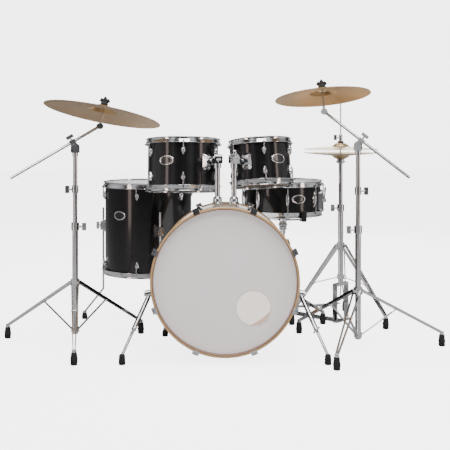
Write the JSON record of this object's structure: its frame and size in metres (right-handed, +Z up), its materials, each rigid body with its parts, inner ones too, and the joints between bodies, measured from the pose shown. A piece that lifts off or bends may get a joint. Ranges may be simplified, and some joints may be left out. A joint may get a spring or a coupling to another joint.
{
  "type": "acoustic drum kit",
  "caption": "Acoustic drum kit: bass drum with toms on posts, floor tom, snare drum and hi-hat on stands, ride and crash cymbals on boom stands, played with sticks and pedals.",
  "frame": {"origin": "on the floor, at the middle of the ground that the kit covers", "axes": "+X to the player's left, +Y from the audience to the player, +Z up"},
  "size_m": [1.8955, 1.1556, 1.1273],
  "materials": {
    "black_shell": "gloss black covering on ply",
    "maple": "clear lacquered maple",
    "head_film": "satin coated film",
    "chrome": "polished chrome plate",
    "steel": "plated steel",
    "board": "satin cast aluminium",
    "beater": "grey felt head on a steel shaft",
    "cymbal_bronze": "lathed bronze",
    "rubber": "black moulded rubber"
  },
  "bodies": {
    "kit": {"bass_drum_shell": "black_shell", "bass_drum_hoops": "maple", "bass_drum_front_head": "head_film", "bass_drum_batter_head": "head_film", "bass_drum_lugs": "chrome", "bass_drum_claws": "chrome", "bass_drum_rods": "steel", "bass_drum_brackets": "chrome", "floor_tom_shell": "black_shell", "floor_tom_hoops": "chrome", "floor_tom_heads": "head_film", "floor_tom_lugs": "chrome", "floor_tom_rods": "steel", "floor_tom_leg_brackets": "chrome", "floor_tom_legs": "chrome", "snare_stand_base": "chrome", "bass_pedal_frame": "steel", "hihat_stand_base": "chrome", "ride_stand_base": "chrome", "crash_stand_base": "chrome", "rubber_feet": "rubber"},
    "spur_left": {"spur_left": "chrome"},
    "spur_right": {"spur_right": "chrome"},
    "tom_post_left": {"tom_post_left": "chrome"},
    "tom_post_right": {"tom_post_right": "chrome"},
    "tom_left": {"tom_left_shell": "black_shell", "tom_left_hoops": "chrome", "tom_left_heads": "head_film", "tom_left_lugs": "chrome", "tom_left_rods": "steel", "tom_left_mount": "chrome"},
    "tom_right": {"tom_right_shell": "black_shell", "tom_right_hoops": "chrome", "tom_right_heads": "head_film", "tom_right_lugs": "chrome", "tom_right_rods": "steel", "tom_right_mount": "chrome"},
    "snare_tube": {"snare_stand_tube": "chrome"},
    "snare": {"snare_stand_basket": "chrome", "snare_shell": "black_shell", "snare_hoops": "chrome", "snare_heads": "head_film", "snare_lugs": "chrome", "snare_rods": "steel", "snare_strainer": "chrome", "snare_wires": "steel"},
    "throw_off_lever": {"snare_throw_off_lever": "chrome"},
    "bass_footboard": {"bass_pedal_footboard": "board"},
    "bass_beater": {"bass_pedal_beater": "beater"},
    "hihat_tube": {"hihat_stand_tube": "chrome", "hihat_bottom_cymbal": "cymbal_bronze"},
    "hihat_rod": {"hihat_pull_rod": "chrome", "hihat_top_cymbal": "cymbal_bronze"},
    "hihat_footboard": {"hihat_footboard": "board"},
    "ride_tube": {"ride_stand_tube": "chrome"},
    "ride_boom": {"ride_boom": "chrome"},
    "ride_cymbal": {"ride_cymbal": "cymbal_bronze"},
    "crash_tube": {"crash_stand_tube": "chrome"},
    "crash_boom": {"crash_boom": "chrome"},
    "crash_cymbal": {"crash_cymbal": "cymbal_bronze"}
  },
  "joints": [
    {"name": "spur_left_fold", "type": "hinge", "parent": "kit", "child": "spur_left", "pos_m": [-0.25677, -0.36074, 0.26171], "axis": [-0.9816, -0.0077, -0.1907], "range_deg": [0, 110]},
    {"name": "spur_right_fold", "type": "hinge", "parent": "kit", "child": "spur_right", "pos_m": [0.29177, -0.36074, 0.26171], "axis": [-0.9816, 0.0077, 0.1907], "range_deg": [0, 110]},
    {"name": "tom_left_height", "type": "slide", "parent": "kit", "child": "tom_post_left", "axis": [0, 0.0401, 0.9992], "range_m": [-0.015, 0.02]},
    {"name": "tom_left_tilt", "type": "hinge", "parent": "tom_post_left", "child": "tom_left", "pos_m": [-0.0135, -0.26412, 0.79858], "axis": [0.9236, 0.383, -0.0154], "range_deg": [-4, 4]},
    {"name": "tom_right_height", "type": "slide", "parent": "kit", "child": "tom_post_right", "axis": [0, 0.0401, 0.9992], "range_m": [-0.015, 0.03]},
    {"name": "tom_right_tilt", "type": "hinge", "parent": "tom_post_right", "child": "tom_right", "pos_m": [0.0545, -0.26412, 0.79858], "axis": [0.7154, -0.6981, 0.028], "range_deg": [-4, 6]},
    {"name": "snare_height", "type": "slide", "parent": "kit", "child": "snare_tube", "axis": [0, 0, 1], "range_m": [-0.05, 0.04]},
    {"name": "snare_tilt", "type": "hinge", "parent": "snare_tube", "child": "snare", "pos_m": [0.2925, 0.3075, 0.462], "axis": [1, 0, 0], "range_deg": [-8, 8]},
    {"name": "throw_off", "type": "hinge", "parent": "snare", "child": "throw_off_lever", "pos_m": [0.48178, 0.24047, 0.581], "axis": [0.3338, 0.9426, 0], "range_deg": [0, 75]},
    {"name": "bass_footboard_press", "type": "hinge", "parent": "kit", "child": "bass_footboard", "pos_m": [0.0175, 0.3315, 0.024], "axis": [1, 0, 0], "range_deg": [0, 11], "stiffness_Nm_per_rad": 6, "springref_deg": -8.59},
    {"name": "bass_beater_swing", "type": "hinge", "parent": "kit", "child": "bass_beater", "pos_m": [0.0175, 0.0915, 0.125], "axis": [1, 0, 0], "range_deg": [0, 45.5]},
    {"name": "hihat_height", "type": "slide", "parent": "kit", "child": "hihat_tube", "axis": [0, 0, 1], "range_m": [-0.04, 0.08]},
    {"name": "hihat_rod_pull", "type": "slide", "parent": "hihat_tube", "child": "hihat_rod", "axis": [0, 0, -1], "range_m": [0, 0.0145], "stiffness_N_per_m": 1500, "springref_m": -0.016},
    {"name": "hihat_footboard_press", "type": "hinge", "parent": "kit", "child": "hihat_footboard", "pos_m": [0.34456, 0.51724, 0.024], "axis": [0.6691, 0.7431, 0], "range_deg": [0, 3.3]},
    {"name": "ride_height", "type": "slide", "parent": "kit", "child": "ride_tube", "axis": [0, 0, 1], "range_m": [0, 0.12]},
    {"name": "ride_boom_tilt", "type": "hinge", "parent": "ride_tube", "child": "ride_boom", "pos_m": [-0.6185, -0.1575, 0.84], "axis": [-0.4206, 0.9072, 0], "range_deg": [-25, 0]},
    {"name": "ride_cymbal_rock", "type": "hinge", "parent": "ride_boom", "child": "ride_cymbal", "pos_m": [-0.50398, -0.09701, 1.01782], "axis": [0.9848, -0.0284, -0.1713], "range_deg": [-8, 8], "stiffness_Nm_per_rad": 5},
    {"name": "crash_height", "type": "slide", "parent": "kit", "child": "crash_tube", "axis": [0, 0, 1], "range_m": [-0.02, 0.12]},
    {"name": "crash_boom_tilt", "type": "hinge", "parent": "crash_tube", "child": "crash_boom", "pos_m": [0.5725, -0.2255, 0.85], "axis": [-0.3162, -0.9487, 0], "range_deg": [-20, 5]},
    {"name": "crash_cymbal_rock", "type": "hinge", "parent": "crash_boom", "child": "crash_cymbal", "pos_m": [0.42874, -0.16282, 1.08819], "axis": [0.9971, 0.0133, 0.0756], "range_deg": [-8, 8], "stiffness_Nm_per_rad": 5}
  ],
  "couplings": [
    {"joint": "bass_beater_swing", "follows": "bass_footboard_press", "ratio": 4},
    {"joint": "hihat_footboard_press", "follows": "hihat_rod_pull", "rad_per_m": 3.8}
  ]
}
